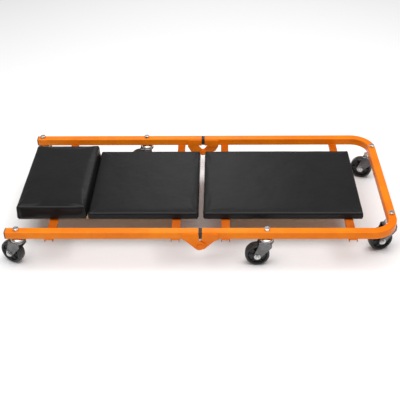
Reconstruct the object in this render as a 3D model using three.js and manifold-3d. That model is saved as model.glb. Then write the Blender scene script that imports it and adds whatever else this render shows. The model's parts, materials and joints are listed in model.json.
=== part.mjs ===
// Folding mechanic's creeper: two padded boards on a square-tube frame that folds in the
// middle, on six swivel casters. Millimetres, +Z up, +X from the headrest to the foot end.
// Inside this file X = 0 is the hinge plane, Y = 0 the middle and Z = 0 the floor.
import * as THREE from 'three';
import { mergeVertices } from 'three/addons/utils/BufferGeometryUtils.js';
import { RoundedBoxGeometry } from 'three/addons/geometries/RoundedBoxGeometry.js';
import Module from 'manifold-3d';

// Frame
const FRAME_WIDTH = 474; // over both side rails
const HEAD_REACH = 498; // hinge plane to the open ends of the head rails
const FOOT_REACH = 502; // hinge plane to the outside of the closed end
const TUBE = 22; // square tube, outside
const TUBE_CORNER = 3.5; // outside corner radius
const TUBE_WALL = 1.5;
const BEND_RADIUS = 56; // of the tube's centre line at the foot end's corners
const BEND_STEPS = 8;
const FRAME_HEIGHT = 84; // floor to the underside of the tubes
const GAP = 0.3; // between pieces that touch on the real object

// Crossbars: channels, open side down, under the rails
const CHANNEL_WIDTH = 22;
const CHANNEL_HEIGHT = 8;
const CHANNEL_WALL = 2;
const CHANNEL_EDGE = 1; // chamfer for the folded edges
const CROSSBAR_INNER = 64; // hinge plane to the middle of the inner crossbars
const CROSSBAR_OUTER = 385;

// Hinge
const HINGE_GAP = 4.5; // hinge plane to each tube's end
const BRACKET_LENGTH = 41;
const PLATE = 2.5; // bracket plate thickness
const PIVOT_HEIGHT = 62;
const PIVOT_RADIUS = 4;
const PIVOT_HEAD_RADIUS = 7.5;
const PIVOT_HEAD_HEIGHT = 2.5;
const PIVOT_NUT_HEIGHT = 5;
const LUG_END = 20; // how far the lugs' blank reaches below the pivot, before it is cut
const PLUG_DEPTH = 10; // how far a plug's spigot goes into the tube
const CAP_FLANGE = 4; // domed cap on each open rail end

// Padded boards
const PAD_HALF_WIDTH = 155;
const PAD_HEIGHT = 22;
const PAD_CORNER = 6;
const PAD_HINGE_CLEARANCE = 5; // hinge plane to each pad
const FOOT_PAD_END = 423;
const HEAD_PAD_END = 483;
const HEADREST_LENGTH = 186;
const HEADREST_HEIGHT = 43;
const HEADREST_CORNER = 9;
const BOARD_HEIGHT = 9;
const BOARD_INSET = 4; // the cover wraps this far past the board's edge

// Casters
const WHEEL_RADIUS = 31.75;
const WHEEL_HALF_WIDTH = 12;
const TRAIL = 23; // swivel axis to axle, seen from above
const FORK_PLATE = 2.5;
const FORK_INSIDE = 13.5; // middle of the wheel to the inside of a fork leg
const FORK_TOP = 75;
const CROWN_RADIUS = 18;
const LEG_END_RADIUS = 10; // round end of a fork leg, about the axle
const STEM_RADIUS = 4;
const STEM_PROUD = 2; // thread above the nut
const NECK_RADIUS = 5.6; // inside the crown
const RIVET_RADIUS = 9;
const RACE_RADIUS = 17;
const NUT_RADIUS = 7.5; // over the corners
const NUT_HEIGHT = 6.5;
const AXLE_RADIUS = 4;
const AXLE_HEAD_RADIUS = 7; // over the corners, the nut's too
const AXLE_HEAD_HEIGHT = 4;
const AXLE_PROUD = 1;

// Where each caster stands and which way it trails, in degrees from +X
const CASTERS = [
  { name: 'head_right', section: 'head', x: -467, y: -226, trails: 152 },
  { name: 'head_left', section: 'head', x: -480, y: 226, trails: 8 },
  { name: 'mid_left', section: 'head', x: -168, y: 226, trails: 184 },
  { name: 'mid_right', section: 'foot', x: 168, y: -226, trails: 180 },
  { name: 'foot_right', section: 'foot', x: 491, y: -158, trails: 196 },
  { name: 'foot_left', section: 'foot', x: 491, y: 170, trails: 160 },
];

const TUBE_TOP = FRAME_HEIGHT + TUBE;
const TUBE_MIDDLE = FRAME_HEIGHT + TUBE / 2;
const RAIL_Y = FRAME_WIDTH / 2 - TUBE / 2;
const SIDES = { right: -1, left: 1 };

const ORANGE = new THREE.MeshStandardMaterial({ color: 0xf07a12, roughness: 0.35, metalness: 0.1 });
const VINYL = new THREE.MeshStandardMaterial({ color: 0x26272a, roughness: 0.5, metalness: 0 });
const PLYWOOD = new THREE.MeshStandardMaterial({ color: 0x8a6a45, roughness: 0.8, metalness: 0 });
const ZINC = new THREE.MeshStandardMaterial({ color: 0xa9acb0, roughness: 0.35, metalness: 0.9 });
const PLASTIC = new THREE.MeshStandardMaterial({ color: 0x17181a, roughness: 0.55, metalness: 0 });

const wasm = await Module();
wasm.setup();

// A closed three.js geometry as a solid that can be cut and joined.
function solid(geometry) {
  const bare = geometry.clone();
  bare.deleteAttribute('normal');
  bare.deleteAttribute('uv');
  const merged = mergeVertices(bare, 1e-4);
  const mesh = new wasm.Mesh({
    numProp: 3,
    vertProperties: new Float32Array(merged.attributes.position.array),
    triVerts: new Uint32Array(merged.index.array),
  });
  return new wasm.Manifold(mesh);
}

function geometryOf(manifold) {
  const mesh = manifold.getMesh();
  const geometry = new THREE.BufferGeometry();
  geometry.setAttribute('position', new THREE.BufferAttribute(mesh.vertProperties, 3));
  geometry.setIndex(new THREE.BufferAttribute(mesh.triVerts, 1));
  geometry.computeVertexNormals();
  return geometry;
}

function piece(name, geometry, material) {
  const mesh = new THREE.Mesh(geometry, material.clone());
  mesh.name = name;
  return mesh;
}

// ---- outlines and simple solids ----

function addRoundedSquare(path, half, radius) {
  path.moveTo(half - radius, -half);
  path.absarc(half - radius, -half + radius, radius, -Math.PI / 2, 0, false);
  path.absarc(half - radius, half - radius, radius, 0, Math.PI / 2, false);
  path.absarc(-half + radius, half - radius, radius, Math.PI / 2, Math.PI, false);
  path.absarc(-half + radius, -half + radius, radius, Math.PI, 1.5 * Math.PI, false);
  return path;
}

function tubeSection() {
  const shape = addRoundedSquare(new THREE.Shape(), TUBE / 2, TUBE_CORNER);
  const bore = addRoundedSquare(new THREE.Path(), TUBE / 2 - TUBE_WALL, TUBE_CORNER - TUBE_WALL);
  shape.holes.push(bore);
  return shape;
}

function outline(points) {
  return new THREE.Shape(points.map(([x, y]) => new THREE.Vector2(x, y)));
}

function extrude(shape, depth, curveSegments = 1) {
  return new THREE.ExtrudeGeometry(shape, { depth, steps: 1, curveSegments, bevelEnabled: false });
}

// A round bar along Y between two places, for bores and shanks.
function roundBarY(radius, yFrom, yTo, x, z, sides = 20) {
  const bar = new THREE.CylinderGeometry(radius, radius, yTo - yFrom, sides);
  return bar.translate(x, (yFrom + yTo) / 2, z);
}

function roundBarZ(radius, zFrom, zTo, x, y, sides = 20) {
  const bar = new THREE.CylinderGeometry(radius, radius, zTo - zFrom, sides);
  return bar.rotateX(Math.PI / 2).translate(x, y, (zFrom + zTo) / 2);
}

// ---- tubes ----

// A path through chosen stations: each step of a sweep lands on the next station.
class StationPath extends THREE.Curve {
  constructor(stations) {
    super();
    this.stations = stations;
  }

  getPoint(t, target = new THREE.Vector3()) {
    const place = t * (this.stations.length - 1);
    const index = Math.min(Math.floor(place + 1e-6), this.stations.length - 2);
    const { point } = this.stations[index];
    return target.lerpVectors(point, this.stations[index + 1].point, place - index);
  }

  getTangent(t, target = new THREE.Vector3()) {
    const index = Math.round(t * (this.stations.length - 1));
    return target.copy(this.stations[index].tangent);
  }

  getUtoTmapping(u) {
    return u;
  }
}

function stationsRoundCorner(centreX, centreY, fromAngle) {
  const stations = [];
  for (let step = 0; step <= BEND_STEPS; step += 1) {
    const angle = fromAngle + (step / BEND_STEPS) * (Math.PI / 2);
    const outward = new THREE.Vector3(Math.cos(angle), Math.sin(angle), 0);
    const centre = new THREE.Vector3(centreX, centreY, TUBE_MIDDLE);
    const point = outward.clone().multiplyScalar(BEND_RADIUS).add(centre);
    stations.push({ point, tangent: new THREE.Vector3(-outward.y, outward.x, 0) });
  }
  return stations;
}

// The foot end's frame: one tube from hinge to hinge, bent twice.
function footFrame() {
  const bendX = FOOT_REACH - TUBE / 2 - BEND_RADIUS;
  const bendY = RAIL_Y - BEND_RADIUS;
  const forwards = new THREE.Vector3(1, 0, 0);
  const backwards = new THREE.Vector3(-1, 0, 0);
  const stations = [
    { point: new THREE.Vector3(HINGE_GAP, -RAIL_Y, TUBE_MIDDLE), tangent: forwards },
    ...stationsRoundCorner(bendX, -bendY, -Math.PI / 2),
    ...stationsRoundCorner(bendX, bendY, 0),
    { point: new THREE.Vector3(HINGE_GAP, RAIL_Y, TUBE_MIDDLE), tangent: backwards },
  ];
  const sweep = new THREE.ExtrudeGeometry(tubeSection(), {
    steps: stations.length - 1,
    curveSegments: 1,
    bevelEnabled: false,
    extrudePath: new StationPath(stations),
  });
  return withStemHoles(solid(sweep), 'foot');
}

function headRail(side) {
  const outerEnd = -HEAD_REACH + CAP_FLANGE;
  const rail = extrude(tubeSection(), -HINGE_GAP - outerEnd);
  rail.rotateY(Math.PI / 2).translate(outerEnd, side * RAIL_Y, TUBE_MIDDLE);
  return withStemHoles(solid(rail), 'head', side);
}

// Drill a tube for the caster stems that go through it.
function withStemHoles(tube, section, side = 0) {
  let drilled = tube;
  for (const caster of CASTERS) {
    if (caster.section !== section) continue;
    if (side !== 0 && Math.sign(caster.y) !== side) continue;
    const reach = [FRAME_HEIGHT - 1, TUBE_TOP + 1];
    const hole = roundBarZ(STEM_RADIUS + GAP, ...reach, caster.x, caster.y, 16);
    drilled = drilled.subtract(solid(hole));
  }
  return geometryOf(drilled);
}

// A plastic plug in a tube's open end: a flange as big as the tube and a spigot inside it.
function tubePlug(flange) {
  const cover = extrude(addRoundedSquare(new THREE.Shape(), TUBE / 2, TUBE_CORNER), flange);
  const half = TUBE / 2 - TUBE_WALL - GAP;
  const corner = TUBE_CORNER - TUBE_WALL;
  const spigot = extrude(addRoundedSquare(new THREE.Shape(), half, corner), PLUG_DEPTH + flange / 2);
  spigot.translate(0, 0, flange / 2);
  return geometryOf(solid(cover.rotateY(Math.PI / 2)).add(solid(spigot.rotateY(Math.PI / 2))));
}

// ---- crossbars ----

function crossbar() {
  const half = CHANNEL_WIDTH / 2;
  const inside = half - CHANNEL_WALL;
  const section = outline([
    [-half, -CHANNEL_HEIGHT], [-inside, -CHANNEL_HEIGHT], [-inside, -CHANNEL_WALL],
    [inside, -CHANNEL_WALL], [inside, -CHANNEL_HEIGHT], [half, -CHANNEL_HEIGHT],
    [half, -CHANNEL_EDGE], [half - CHANNEL_EDGE, 0], [CHANNEL_EDGE - half, 0], [-half, -CHANNEL_EDGE],
  ]);
  return extrude(section, FRAME_WIDTH).rotateX(Math.PI / 2).translate(0, FRAME_WIDTH / 2, 0);
}

// ---- hinge ----

// Side view of a bracket on the head side, as X and Z. The cheek covers the tube's side and
// the lug runs from it to the pivot. The lug of the right rail's hinge leans across the
// hinge plane, and the two lugs of the left rail's hinge meet in a V.
function bracketOutline(side) {
  const outer = -HINGE_GAP - BRACKET_LENGTH;
  const top = TUBE_TOP - TUBE_CORNER;
  const low = FRAME_HEIGHT + 1;
  const cheek = [[-HINGE_GAP, top], [outer, top]];
  const crossing = [
    [outer, low], [-38, FRAME_HEIGHT - 3], [-10, PIVOT_HEIGHT - 9],
    [-4, PIVOT_HEIGHT - 11], [3, PIVOT_HEIGHT - 10],
    [7, PIVOT_HEIGHT - 6], [13, PIVOT_HEIGHT + 6], [12, PIVOT_HEIGHT + 9], [-3, FRAME_HEIGHT - 3],
  ];
  const meeting = [
    [outer, FRAME_HEIGHT - 3], [4 - BRACKET_LENGTH, PIVOT_HEIGHT + 3],
    [-9, PIVOT_HEIGHT - 8], [-3, PIVOT_HEIGHT - 11], [4, PIVOT_HEIGHT - 10],
    [9, PIVOT_HEIGHT - 5], [9, PIVOT_HEIGHT + 4], [3, PIVOT_HEIGHT + 9], [-2, PIVOT_HEIGHT + 9],
    [-14, low], [-HINGE_GAP, low],
  ];
  return outline([...cheek, ...(side === SIDES.right ? crossing : meeting)]);
}

// End view of a bracket beside its tube, as Y and Z: one plate on the tube's -Y side.
// The foot side's plate steps in under the tube, to lie behind the head side's.
function bracketSection(steppedIn) {
  const inside = TUBE / 2 + GAP;
  const outside = inside + PLATE;
  const top = TUBE_TOP;
  const low = PIVOT_HEIGHT - LUG_END;
  const ledge = FRAME_HEIGHT - GAP;
  const step = steppedIn ? PLATE + GAP : 0;
  const leg = steppedIn
    ? [[-outside, ledge - PLATE], [-outside + step, ledge - PLATE], [-outside + step, low],
      [-inside + step, low], [-inside + step, ledge], [-inside, ledge]]
    : [[-outside, low], [-inside, low]];
  return outline([...leg, [-inside, top], [-outside, top]]);
}

function bracket(section, side) {
  const towardsFoot = section === 'foot';
  const sideView = extrude(bracketOutline(side), FRAME_WIDTH);
  sideView.rotateX(Math.PI / 2).translate(0, side * RAIL_Y + FRAME_WIDTH / 2, 0);
  if (towardsFoot) sideView.rotateZ(Math.PI).translate(0, 2 * side * RAIL_Y, 0);
  const reach = BRACKET_LENGTH + HINGE_GAP + PLATE;
  const endView = extrude(bracketSection(towardsFoot), 2 * reach);
  // Shape X becomes Y and shape Y becomes Z, along X.
  endView.rotateX(Math.PI / 2).rotateZ(Math.PI / 2).translate(-reach, side * RAIL_Y, 0);
  const pivotBore = roundBarY(PIVOT_RADIUS + GAP, -FRAME_WIDTH, FRAME_WIDTH, 0, PIVOT_HEIGHT);
  return geometryOf(solid(endView).intersect(solid(sideView)).subtract(solid(pivotBore)));
}

// The plates that the pivot bolt holds, from the head lug's outer face inwards.
const LUG_FACE = TUBE / 2 + GAP + PLATE;
const LUGS_THICKNESS = 2 * PLATE + GAP;

function pivotBolt(side) {
  const face = side * RAIL_Y - LUG_FACE;
  const domeRadius = PIVOT_HEAD_RADIUS - 2;
  const head = new THREE.CylinderGeometry(PIVOT_HEAD_RADIUS, domeRadius, PIVOT_HEAD_HEIGHT, 16);
  head.translate(0, face - GAP - PIVOT_HEAD_HEIGHT / 2, PIVOT_HEIGHT);
  const end = face + LUGS_THICKNESS + PIVOT_NUT_HEIGHT + PLATE;
  const shank = roundBarY(PIVOT_RADIUS, face - PIVOT_HEAD_HEIGHT / 2, end, 0, PIVOT_HEIGHT, 12);
  return geometryOf(solid(head).add(solid(shank)));
}

function hexRing(cornerRadius, boreRadius, height) {
  const corners = [0, 1, 2, 3, 4, 5].map((corner) => {
    const angle = (corner * Math.PI) / 3;
    return [cornerRadius * Math.cos(angle), cornerRadius * Math.sin(angle)];
  });
  const shape = outline(corners);
  shape.holes.push(new THREE.Path().absarc(0, 0, boreRadius, 0, 2 * Math.PI, true));
  return extrude(shape, height, 6);
}

function pivotNut(side) {
  const face = side * RAIL_Y - LUG_FACE + LUGS_THICKNESS + GAP;
  const nut = hexRing(NUT_RADIUS, PIVOT_RADIUS + GAP, PIVOT_NUT_HEIGHT).rotateX(-Math.PI / 2);
  return nut.translate(0, face, PIVOT_HEIGHT);
}

// ---- padded boards ----

function block(xFrom, xTo, halfWidth, zFrom, height) {
  const box = new THREE.BoxGeometry(xTo - xFrom, 2 * halfWidth, height);
  return box.translate((xFrom + xTo) / 2, 0, zFrom + height / 2);
}

function board(xFrom, xTo) {
  return block(xFrom, xTo, PAD_HALF_WIDTH - BOARD_INSET, FRAME_HEIGHT, BOARD_HEIGHT);
}

// A cushion over a board, with a pocket below that the board fills.
function cushion(xFrom, xTo, height, corner, boardFrom, boardTo) {
  const size = [xTo - xFrom, 2 * PAD_HALF_WIDTH, height];
  const body = new RoundedBoxGeometry(...size, 2, corner);
  body.translate((xFrom + xTo) / 2, 0, FRAME_HEIGHT + height / 2);
  const halfWidth = PAD_HALF_WIDTH - BOARD_INSET + GAP;
  const pocket = block(boardFrom - GAP, boardTo + GAP, halfWidth, 0, FRAME_HEIGHT + BOARD_HEIGHT + GAP);
  return geometryOf(solid(body).subtract(solid(pocket)));
}

// ---- casters, each about its own swivel axis, trailing along -X ----

// Lathe profile as radius and height, turned about Z.
function turned(profile, segments) {
  const points = profile.map(([radius, height]) => new THREE.Vector2(radius, height));
  return new THREE.LatheGeometry(points, segments).rotateX(Math.PI / 2);
}

// The threaded stem with the upper race on it, riveted over below the fork.
function stem() {
  const underCrown = FORK_TOP - FORK_PLATE;
  const underTube = FRAME_HEIGHT - GAP;
  const top = TUBE_TOP + NUT_HEIGHT + STEM_PROUD;
  return turned([
    [0, underCrown - 4], [RIVET_RADIUS - 2, underCrown - 4], [RIVET_RADIUS, underCrown - 2.6],
    [RIVET_RADIUS, underCrown - GAP], [NECK_RADIUS, underCrown - GAP], [NECK_RADIUS, FORK_TOP + GAP],
    [RACE_RADIUS - 1.5, FORK_TOP + GAP], [RACE_RADIUS, FORK_TOP + 3], [RACE_RADIUS - 2, FORK_TOP + 6.5],
    [RIVET_RADIUS, underTube], [STEM_RADIUS, underTube], [STEM_RADIUS, top - 1], [STEM_RADIUS - 1, top],
    [0, top],
  ], 12);
}

function stemNut() {
  return hexRing(NUT_RADIUS, STEM_RADIUS + GAP, NUT_HEIGHT).translate(0, 0, TUBE_TOP + GAP);
}

// A stamped fork: a folded plate with a round crown and two legs that lean back to the axle.
function fork() {
  const outside = FORK_INSIDE + FORK_PLATE;
  const folded = outline([
    [-outside, 0], [-FORK_INSIDE, 0], [-FORK_INSIDE, FORK_TOP - FORK_PLATE],
    [FORK_INSIDE, FORK_TOP - FORK_PLATE], [FORK_INSIDE, 0], [outside, 0],
    [outside, FORK_TOP - 2], [outside - 2, FORK_TOP], [-outside + 2, FORK_TOP], [-outside, FORK_TOP - 2],
  ]);
  const reach = TRAIL + 2 * LEG_END_RADIUS;
  const endView = extrude(folded, 2 * reach).rotateX(Math.PI / 2).rotateZ(Math.PI / 2);
  endView.translate(-reach, 0, 0);
  const leg = new THREE.Shape();
  leg.moveTo(14, FORK_TOP + 1);
  leg.lineTo(-20, FORK_TOP + 1);
  leg.lineTo(-TRAIL - LEG_END_RADIUS, WHEEL_RADIUS + 3);
  leg.absarc(-TRAIL, WHEEL_RADIUS, LEG_END_RADIUS, Math.PI * 0.93, Math.PI * 1.87, false);
  leg.lineTo(13, FORK_TOP - 12);
  const sideView = extrude(leg, 4 * outside, 4).rotateX(Math.PI / 2).translate(0, 2 * outside, 0);
  const crown = roundBarZ(CROWN_RADIUS, FORK_TOP - FORK_PLATE, FORK_TOP, 0, 0, 24);
  const stemBore = roundBarZ(NECK_RADIUS + GAP, 0, FORK_TOP + 1, 0, 0, 16);
  const axleBore = roundBarY(AXLE_RADIUS + GAP, -2 * outside, 2 * outside, -TRAIL, WHEEL_RADIUS, 16);
  const plate = solid(endView).intersect(solid(sideView)).add(solid(crown));
  return geometryOf(plate.subtract(solid(stemBore)).subtract(solid(axleBore)));
}

// Axle bolt through both legs, with its head and its nut.
function axle() {
  const face = FORK_INSIDE + FORK_PLATE + GAP;
  const outer = face + AXLE_HEAD_HEIGHT;
  const shank = roundBarY(AXLE_RADIUS, -outer - AXLE_PROUD, outer + AXLE_PROUD, 0, 0, 12);
  const head = roundBarY(AXLE_HEAD_RADIUS, -outer, -face, 0, 0, 6);
  const nut = roundBarY(AXLE_HEAD_RADIUS, face, outer, 0, 0, 6);
  return geometryOf(solid(shank).add(solid(head)).add(solid(nut)));
}

// One moulded wheel: crowned tread, thin web and a long hub, turned about Y.
function wheel() {
  const hub = FORK_INSIDE - 0.5; // half the hub's length
  const bore = AXLE_RADIUS + GAP;
  const half = [
    [bore, hub], [9.5, hub], [10.5, 5.5], [23, 4.5], [25, WHEEL_HALF_WIDTH - 1],
    [28, WHEEL_HALF_WIDTH], [30.6, WHEEL_HALF_WIDTH - 2], [WHEEL_RADIUS, 4],
  ];
  const mirrored = half.map(([radius, y]) => [radius, -y]).reverse();
  const profile = [...half, ...mirrored, half[0]].reverse();
  const points = profile.map(([radius, y]) => new THREE.Vector2(radius, y));
  return new THREE.LatheGeometry(points, 24);
}

function caster({ name, x, y, trails }) {
  const group = new THREE.Group();
  group.position.set(x, y, 0);
  group.add(piece(`stem_${name}`, stem(), ZINC));
  group.add(piece(`nut_${name}`, stemNut(), ZINC));
  const swivel = new THREE.Group();
  swivel.rotation.z = ((trails - 180) * Math.PI) / 180;
  swivel.add(piece(`fork_${name}`, fork(), ZINC));
  const onAxle = [piece(`axle_${name}`, axle(), ZINC), piece(`wheel_${name}`, wheel(), PLASTIC)];
  for (const part of onAxle) {
    part.position.set(-TRAIL, 0, WHEEL_RADIUS);
    swivel.add(part);
  }
  group.add(swivel);
  return group;
}

// ---- assembly ----

const creeper = new THREE.Group();

creeper.add(piece('foot_frame', footFrame(), ORANGE));
for (const [sideName, side] of Object.entries(SIDES)) {
  creeper.add(piece(`head_rail_${sideName}`, headRail(side), ORANGE));
  creeper.add(piece(`head_bracket_${sideName}`, bracket('head', side), ORANGE));
  creeper.add(piece(`foot_bracket_${sideName}`, bracket('foot', side), ORANGE));
  creeper.add(piece(`pivot_bolt_${sideName}`, pivotBolt(side), ZINC));
  creeper.add(piece(`pivot_nut_${sideName}`, pivotNut(side), ZINC));

  const endCap = piece(`end_cap_${sideName}`, tubePlug(CAP_FLANGE - GAP), PLASTIC);
  endCap.position.set(-HEAD_REACH, side * RAIL_Y, TUBE_MIDDLE);
  creeper.add(endCap);
  const plugs = { head: -1, foot: 1 };
  for (const [section, towards] of Object.entries(plugs)) {
    const plug = piece(`${section}_plug_${sideName}`, tubePlug(HINGE_GAP - GAP - GAP / 2), PLASTIC);
    plug.rotation.z = towards < 0 ? Math.PI : 0;
    plug.position.set((towards * GAP) / 2, side * RAIL_Y, TUBE_MIDDLE);
    creeper.add(plug);
  }
}

const crossbars = {
  head_crossbar_outer: -CROSSBAR_OUTER,
  head_crossbar_inner: -CROSSBAR_INNER,
  foot_crossbar_inner: CROSSBAR_INNER,
  foot_crossbar_outer: CROSSBAR_OUTER,
};
for (const [name, x] of Object.entries(crossbars)) {
  const bar = piece(name, crossbar(), ORANGE);
  bar.position.set(x, 0, FRAME_HEIGHT - GAP);
  creeper.add(bar);
}

const headBoard = [-HEAD_PAD_END + BOARD_INSET, -PAD_HINGE_CLEARANCE - BOARD_INSET];
const footBoard = [PAD_HINGE_CLEARANCE + BOARD_INSET, FOOT_PAD_END - BOARD_INSET];
const headrestEnd = -HEAD_PAD_END + HEADREST_LENGTH;
const headPad = [headrestEnd + GAP, -PAD_HINGE_CLEARANCE, PAD_HEIGHT, PAD_CORNER];
const footPad = [PAD_HINGE_CLEARANCE, FOOT_PAD_END, PAD_HEIGHT, PAD_CORNER];
const headrest = [-HEAD_PAD_END, headrestEnd - GAP, HEADREST_HEIGHT, HEADREST_CORNER];
creeper.add(piece('head_board', board(...headBoard), PLYWOOD));
creeper.add(piece('foot_board', board(...footBoard), PLYWOOD));
creeper.add(piece('head_pad', cushion(...headPad, ...headBoard), VINYL));
creeper.add(piece('foot_pad', cushion(...footPad, ...footBoard), VINYL));
creeper.add(piece('headrest', cushion(...headrest, ...headBoard), VINYL));

for (const place of CASTERS) {
  creeper.add(caster(place));
}

// Stand the origin under the middle of the whole object, on the floor.
creeper.updateMatrixWorld(true);
const bounds = new THREE.Box3().setFromObject(creeper, true);
const middle = bounds.getCenter(new THREE.Vector3());
creeper.position.set(-middle.x, -middle.y, -bounds.min.z);

export default creeper;
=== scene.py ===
import json
import math

import bmesh
import bpy
import numpy as np
from mathutils import Matrix, Vector, noise


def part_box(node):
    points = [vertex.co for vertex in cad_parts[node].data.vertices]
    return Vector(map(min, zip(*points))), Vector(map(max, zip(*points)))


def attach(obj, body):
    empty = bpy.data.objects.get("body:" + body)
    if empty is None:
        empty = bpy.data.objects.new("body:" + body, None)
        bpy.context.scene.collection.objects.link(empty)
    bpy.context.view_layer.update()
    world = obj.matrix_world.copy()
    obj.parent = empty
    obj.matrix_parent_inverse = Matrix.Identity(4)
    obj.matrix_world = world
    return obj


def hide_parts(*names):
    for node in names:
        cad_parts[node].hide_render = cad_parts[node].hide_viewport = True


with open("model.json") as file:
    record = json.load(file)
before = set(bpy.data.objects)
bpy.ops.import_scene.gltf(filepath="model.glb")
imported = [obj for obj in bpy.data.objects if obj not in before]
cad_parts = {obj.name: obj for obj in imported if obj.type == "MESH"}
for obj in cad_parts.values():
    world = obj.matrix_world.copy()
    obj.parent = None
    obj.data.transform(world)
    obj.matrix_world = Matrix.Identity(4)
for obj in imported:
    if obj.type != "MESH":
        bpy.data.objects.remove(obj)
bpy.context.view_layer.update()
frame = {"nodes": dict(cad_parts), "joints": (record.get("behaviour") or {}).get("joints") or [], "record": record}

# A folding mechanic's creeper: two padded boards on a bent square-tube frame that folds in
# the middle, on six swivel casters. Metres, +Z up, +X from the headrest to the closed end.
MM = 0.001
joint_place = {joint["name"]: Vector(joint["pos_m"]) for joint in frame["joints"]}
hinge = joint_place["fold"]

# ---- Studio ----
# A seamless pale floor under a wide overhead softbox, with a second softbox low behind the
# creeper that draws a soft sheen along the vinyl and the tops of the tubes.

CAMERA_FROM_HINGE = (0.0483, -1.7888, 1.254)
CAMERA_YAW, CAMERA_PITCH, CAMERA_ROLL = -1.741, 35.549, -1.078  # degrees
LENS, SENSOR = 70.65, 36
FLOOR_SIZE = 30
FLOOR_COLOUR = (0.93, 0.93, 0.93, 1)
SKY_STRENGTH = 0.36


def aim_camera():
    yaw, pitch, roll = (math.radians(a) for a in (CAMERA_YAW, CAMERA_PITCH, CAMERA_ROLL))
    ahead = Vector((math.sin(yaw) * math.cos(pitch), math.cos(yaw) * math.cos(pitch), -math.sin(pitch)))
    level = Vector((math.cos(yaw), -math.sin(yaw), 0))
    upright = level.cross(ahead)
    right = math.cos(roll) * level + math.sin(roll) * upright
    up = math.cos(roll) * upright - math.sin(roll) * level
    camera = bpy.data.objects.new("camera", bpy.data.cameras.new("camera"))
    camera.data.lens = LENS
    camera.data.sensor_width = SENSOR
    camera.matrix_world = Matrix((right, up, -ahead)).transposed().to_4x4()
    camera.location = hinge + Vector(CAMERA_FROM_HINGE)
    bpy.context.scene.collection.objects.link(camera)
    bpy.context.scene.camera = camera


def softbox(name, place, target, width, depth, watts):
    light = bpy.data.lights.new(name, "AREA")
    light.shape = "RECTANGLE"
    light.size, light.size_y, light.energy = width, depth, watts
    lamp = bpy.data.objects.new(name, light)
    lamp.location = place
    lamp.rotation_euler = (Vector(target) - Vector(place)).to_track_quat("-Z", "Y").to_euler()
    bpy.context.scene.collection.objects.link(lamp)


def pale_floor():
    bpy.ops.mesh.primitive_plane_add(size=FLOOR_SIZE, location=(0, 0, 0))
    floor = bpy.context.object
    floor.name = "studio_floor"
    material = bpy.data.materials.new("pale_floor")
    material.use_nodes = True
    shader = material.node_tree.nodes["Principled BSDF"]
    shader.inputs["Base Color"].default_value = FLOOR_COLOUR
    shader.inputs["Roughness"].default_value = 0.9
    shader.inputs["Specular IOR Level"].default_value = 0.0
    floor.data.materials.append(material)


world = bpy.data.worlds.new("studio")
world.use_nodes = True
sky = world.node_tree.nodes["Background"]
sky.inputs["Color"].default_value = (1, 1, 1, 1)
sky.inputs["Strength"].default_value = SKY_STRENGTH
bpy.context.scene.world = world
bpy.context.scene.view_settings.view_transform = "Standard"
aim_camera()
pale_floor()
softbox("overhead", (0.1, -0.3, 2.4), (0, 0.1, 0), 3.4, 2.2, 78)
softbox("behind", (-0.05, 2.0, 1.55), (0, 0, 0.1), 0.7, 1.3, 4)

# ---- Square tube: the foot end's frame and the two head rails ----
# 22 mm welded steel tube. The foot end is one length bent twice on a former, which presses
# the inside face of each bend into a shallow valley. Drilled for the casters, powder coated.

TUBE = 22 * MM
TUBE_CORNER = 3.5 * MM
TUBE_WALL = 1.5 * MM
BEND_RADIUS = 56 * MM
BEND_STEPS = 28
INSIDE_VALLEY = 1.9 * MM
OUTSIDE_FLAT = 0.6 * MM
STEM_RADIUS = 4 * MM
GAP = 0.3 * MM  # between parts that touch
COAT_BRIGHT = (0.88, 0.21, 0.001, 1)
COAT_DEEP = (0.78, 0.16, 0.001, 1)


def effect_group(name, inputs, outputs):
    """A shader node group with named inputs and outputs, and its two end nodes."""
    group = bpy.data.node_groups.new(name, "ShaderNodeTree")
    for label, value in inputs.items():
        socket = group.interface.new_socket(label, in_out="INPUT", socket_type="NodeSocketFloat")
        socket.default_value = value
    for label, kind in outputs.items():
        group.interface.new_socket(label, in_out="OUTPUT", socket_type=kind)
    return group, group.nodes.new("NodeGroupInput"), group.nodes.new("NodeGroupOutput")


def cloudiness():
    """Soft patches between two values, as a coat or a moulding varies over its surface."""
    group, given, result = effect_group(
        "cloudiness", {"Scale": 10, "Low": 0, "High": 1}, {"Value": "NodeSocketFloat"}
    )
    coordinates = group.nodes.new("ShaderNodeTexCoord")
    patches = group.nodes.new("ShaderNodeTexNoise")
    patches.inputs["Detail"].default_value = 3
    spread = group.nodes.new("ShaderNodeMapRange")
    spread.inputs["From Min"].default_value = 0.35
    spread.inputs["From Max"].default_value = 0.65
    group.links.new(coordinates.outputs["Object"], patches.inputs["Vector"])
    group.links.new(given.outputs["Scale"], patches.inputs["Scale"])
    group.links.new(patches.outputs["Fac"], spread.inputs["Value"])
    group.links.new(given.outputs["Low"], spread.inputs["To Min"])
    group.links.new(given.outputs["High"], spread.inputs["To Max"])
    group.links.new(spread.outputs["Result"], result.inputs["Value"])
    return group


def fine_texture():
    """A fine grain in the surface: orange peel in a coat, spark texture in a moulding."""
    group, given, result = effect_group(
        "fine_texture", {"Scale": 900, "Strength": 0.1}, {"Normal": "NodeSocketVector"}
    )
    coordinates = group.nodes.new("ShaderNodeTexCoord")
    grain = group.nodes.new("ShaderNodeTexNoise")
    grain.inputs["Detail"].default_value = 2
    bump = group.nodes.new("ShaderNodeBump")
    bump.inputs["Distance"].default_value = 0.2 * MM
    group.links.new(coordinates.outputs["Object"], grain.inputs["Vector"])
    group.links.new(given.outputs["Scale"], grain.inputs["Scale"])
    group.links.new(grain.outputs["Fac"], bump.inputs["Height"])
    group.links.new(given.outputs["Strength"], bump.inputs["Strength"])
    group.links.new(bump.outputs["Normal"], result.inputs["Normal"])
    return group


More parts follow.
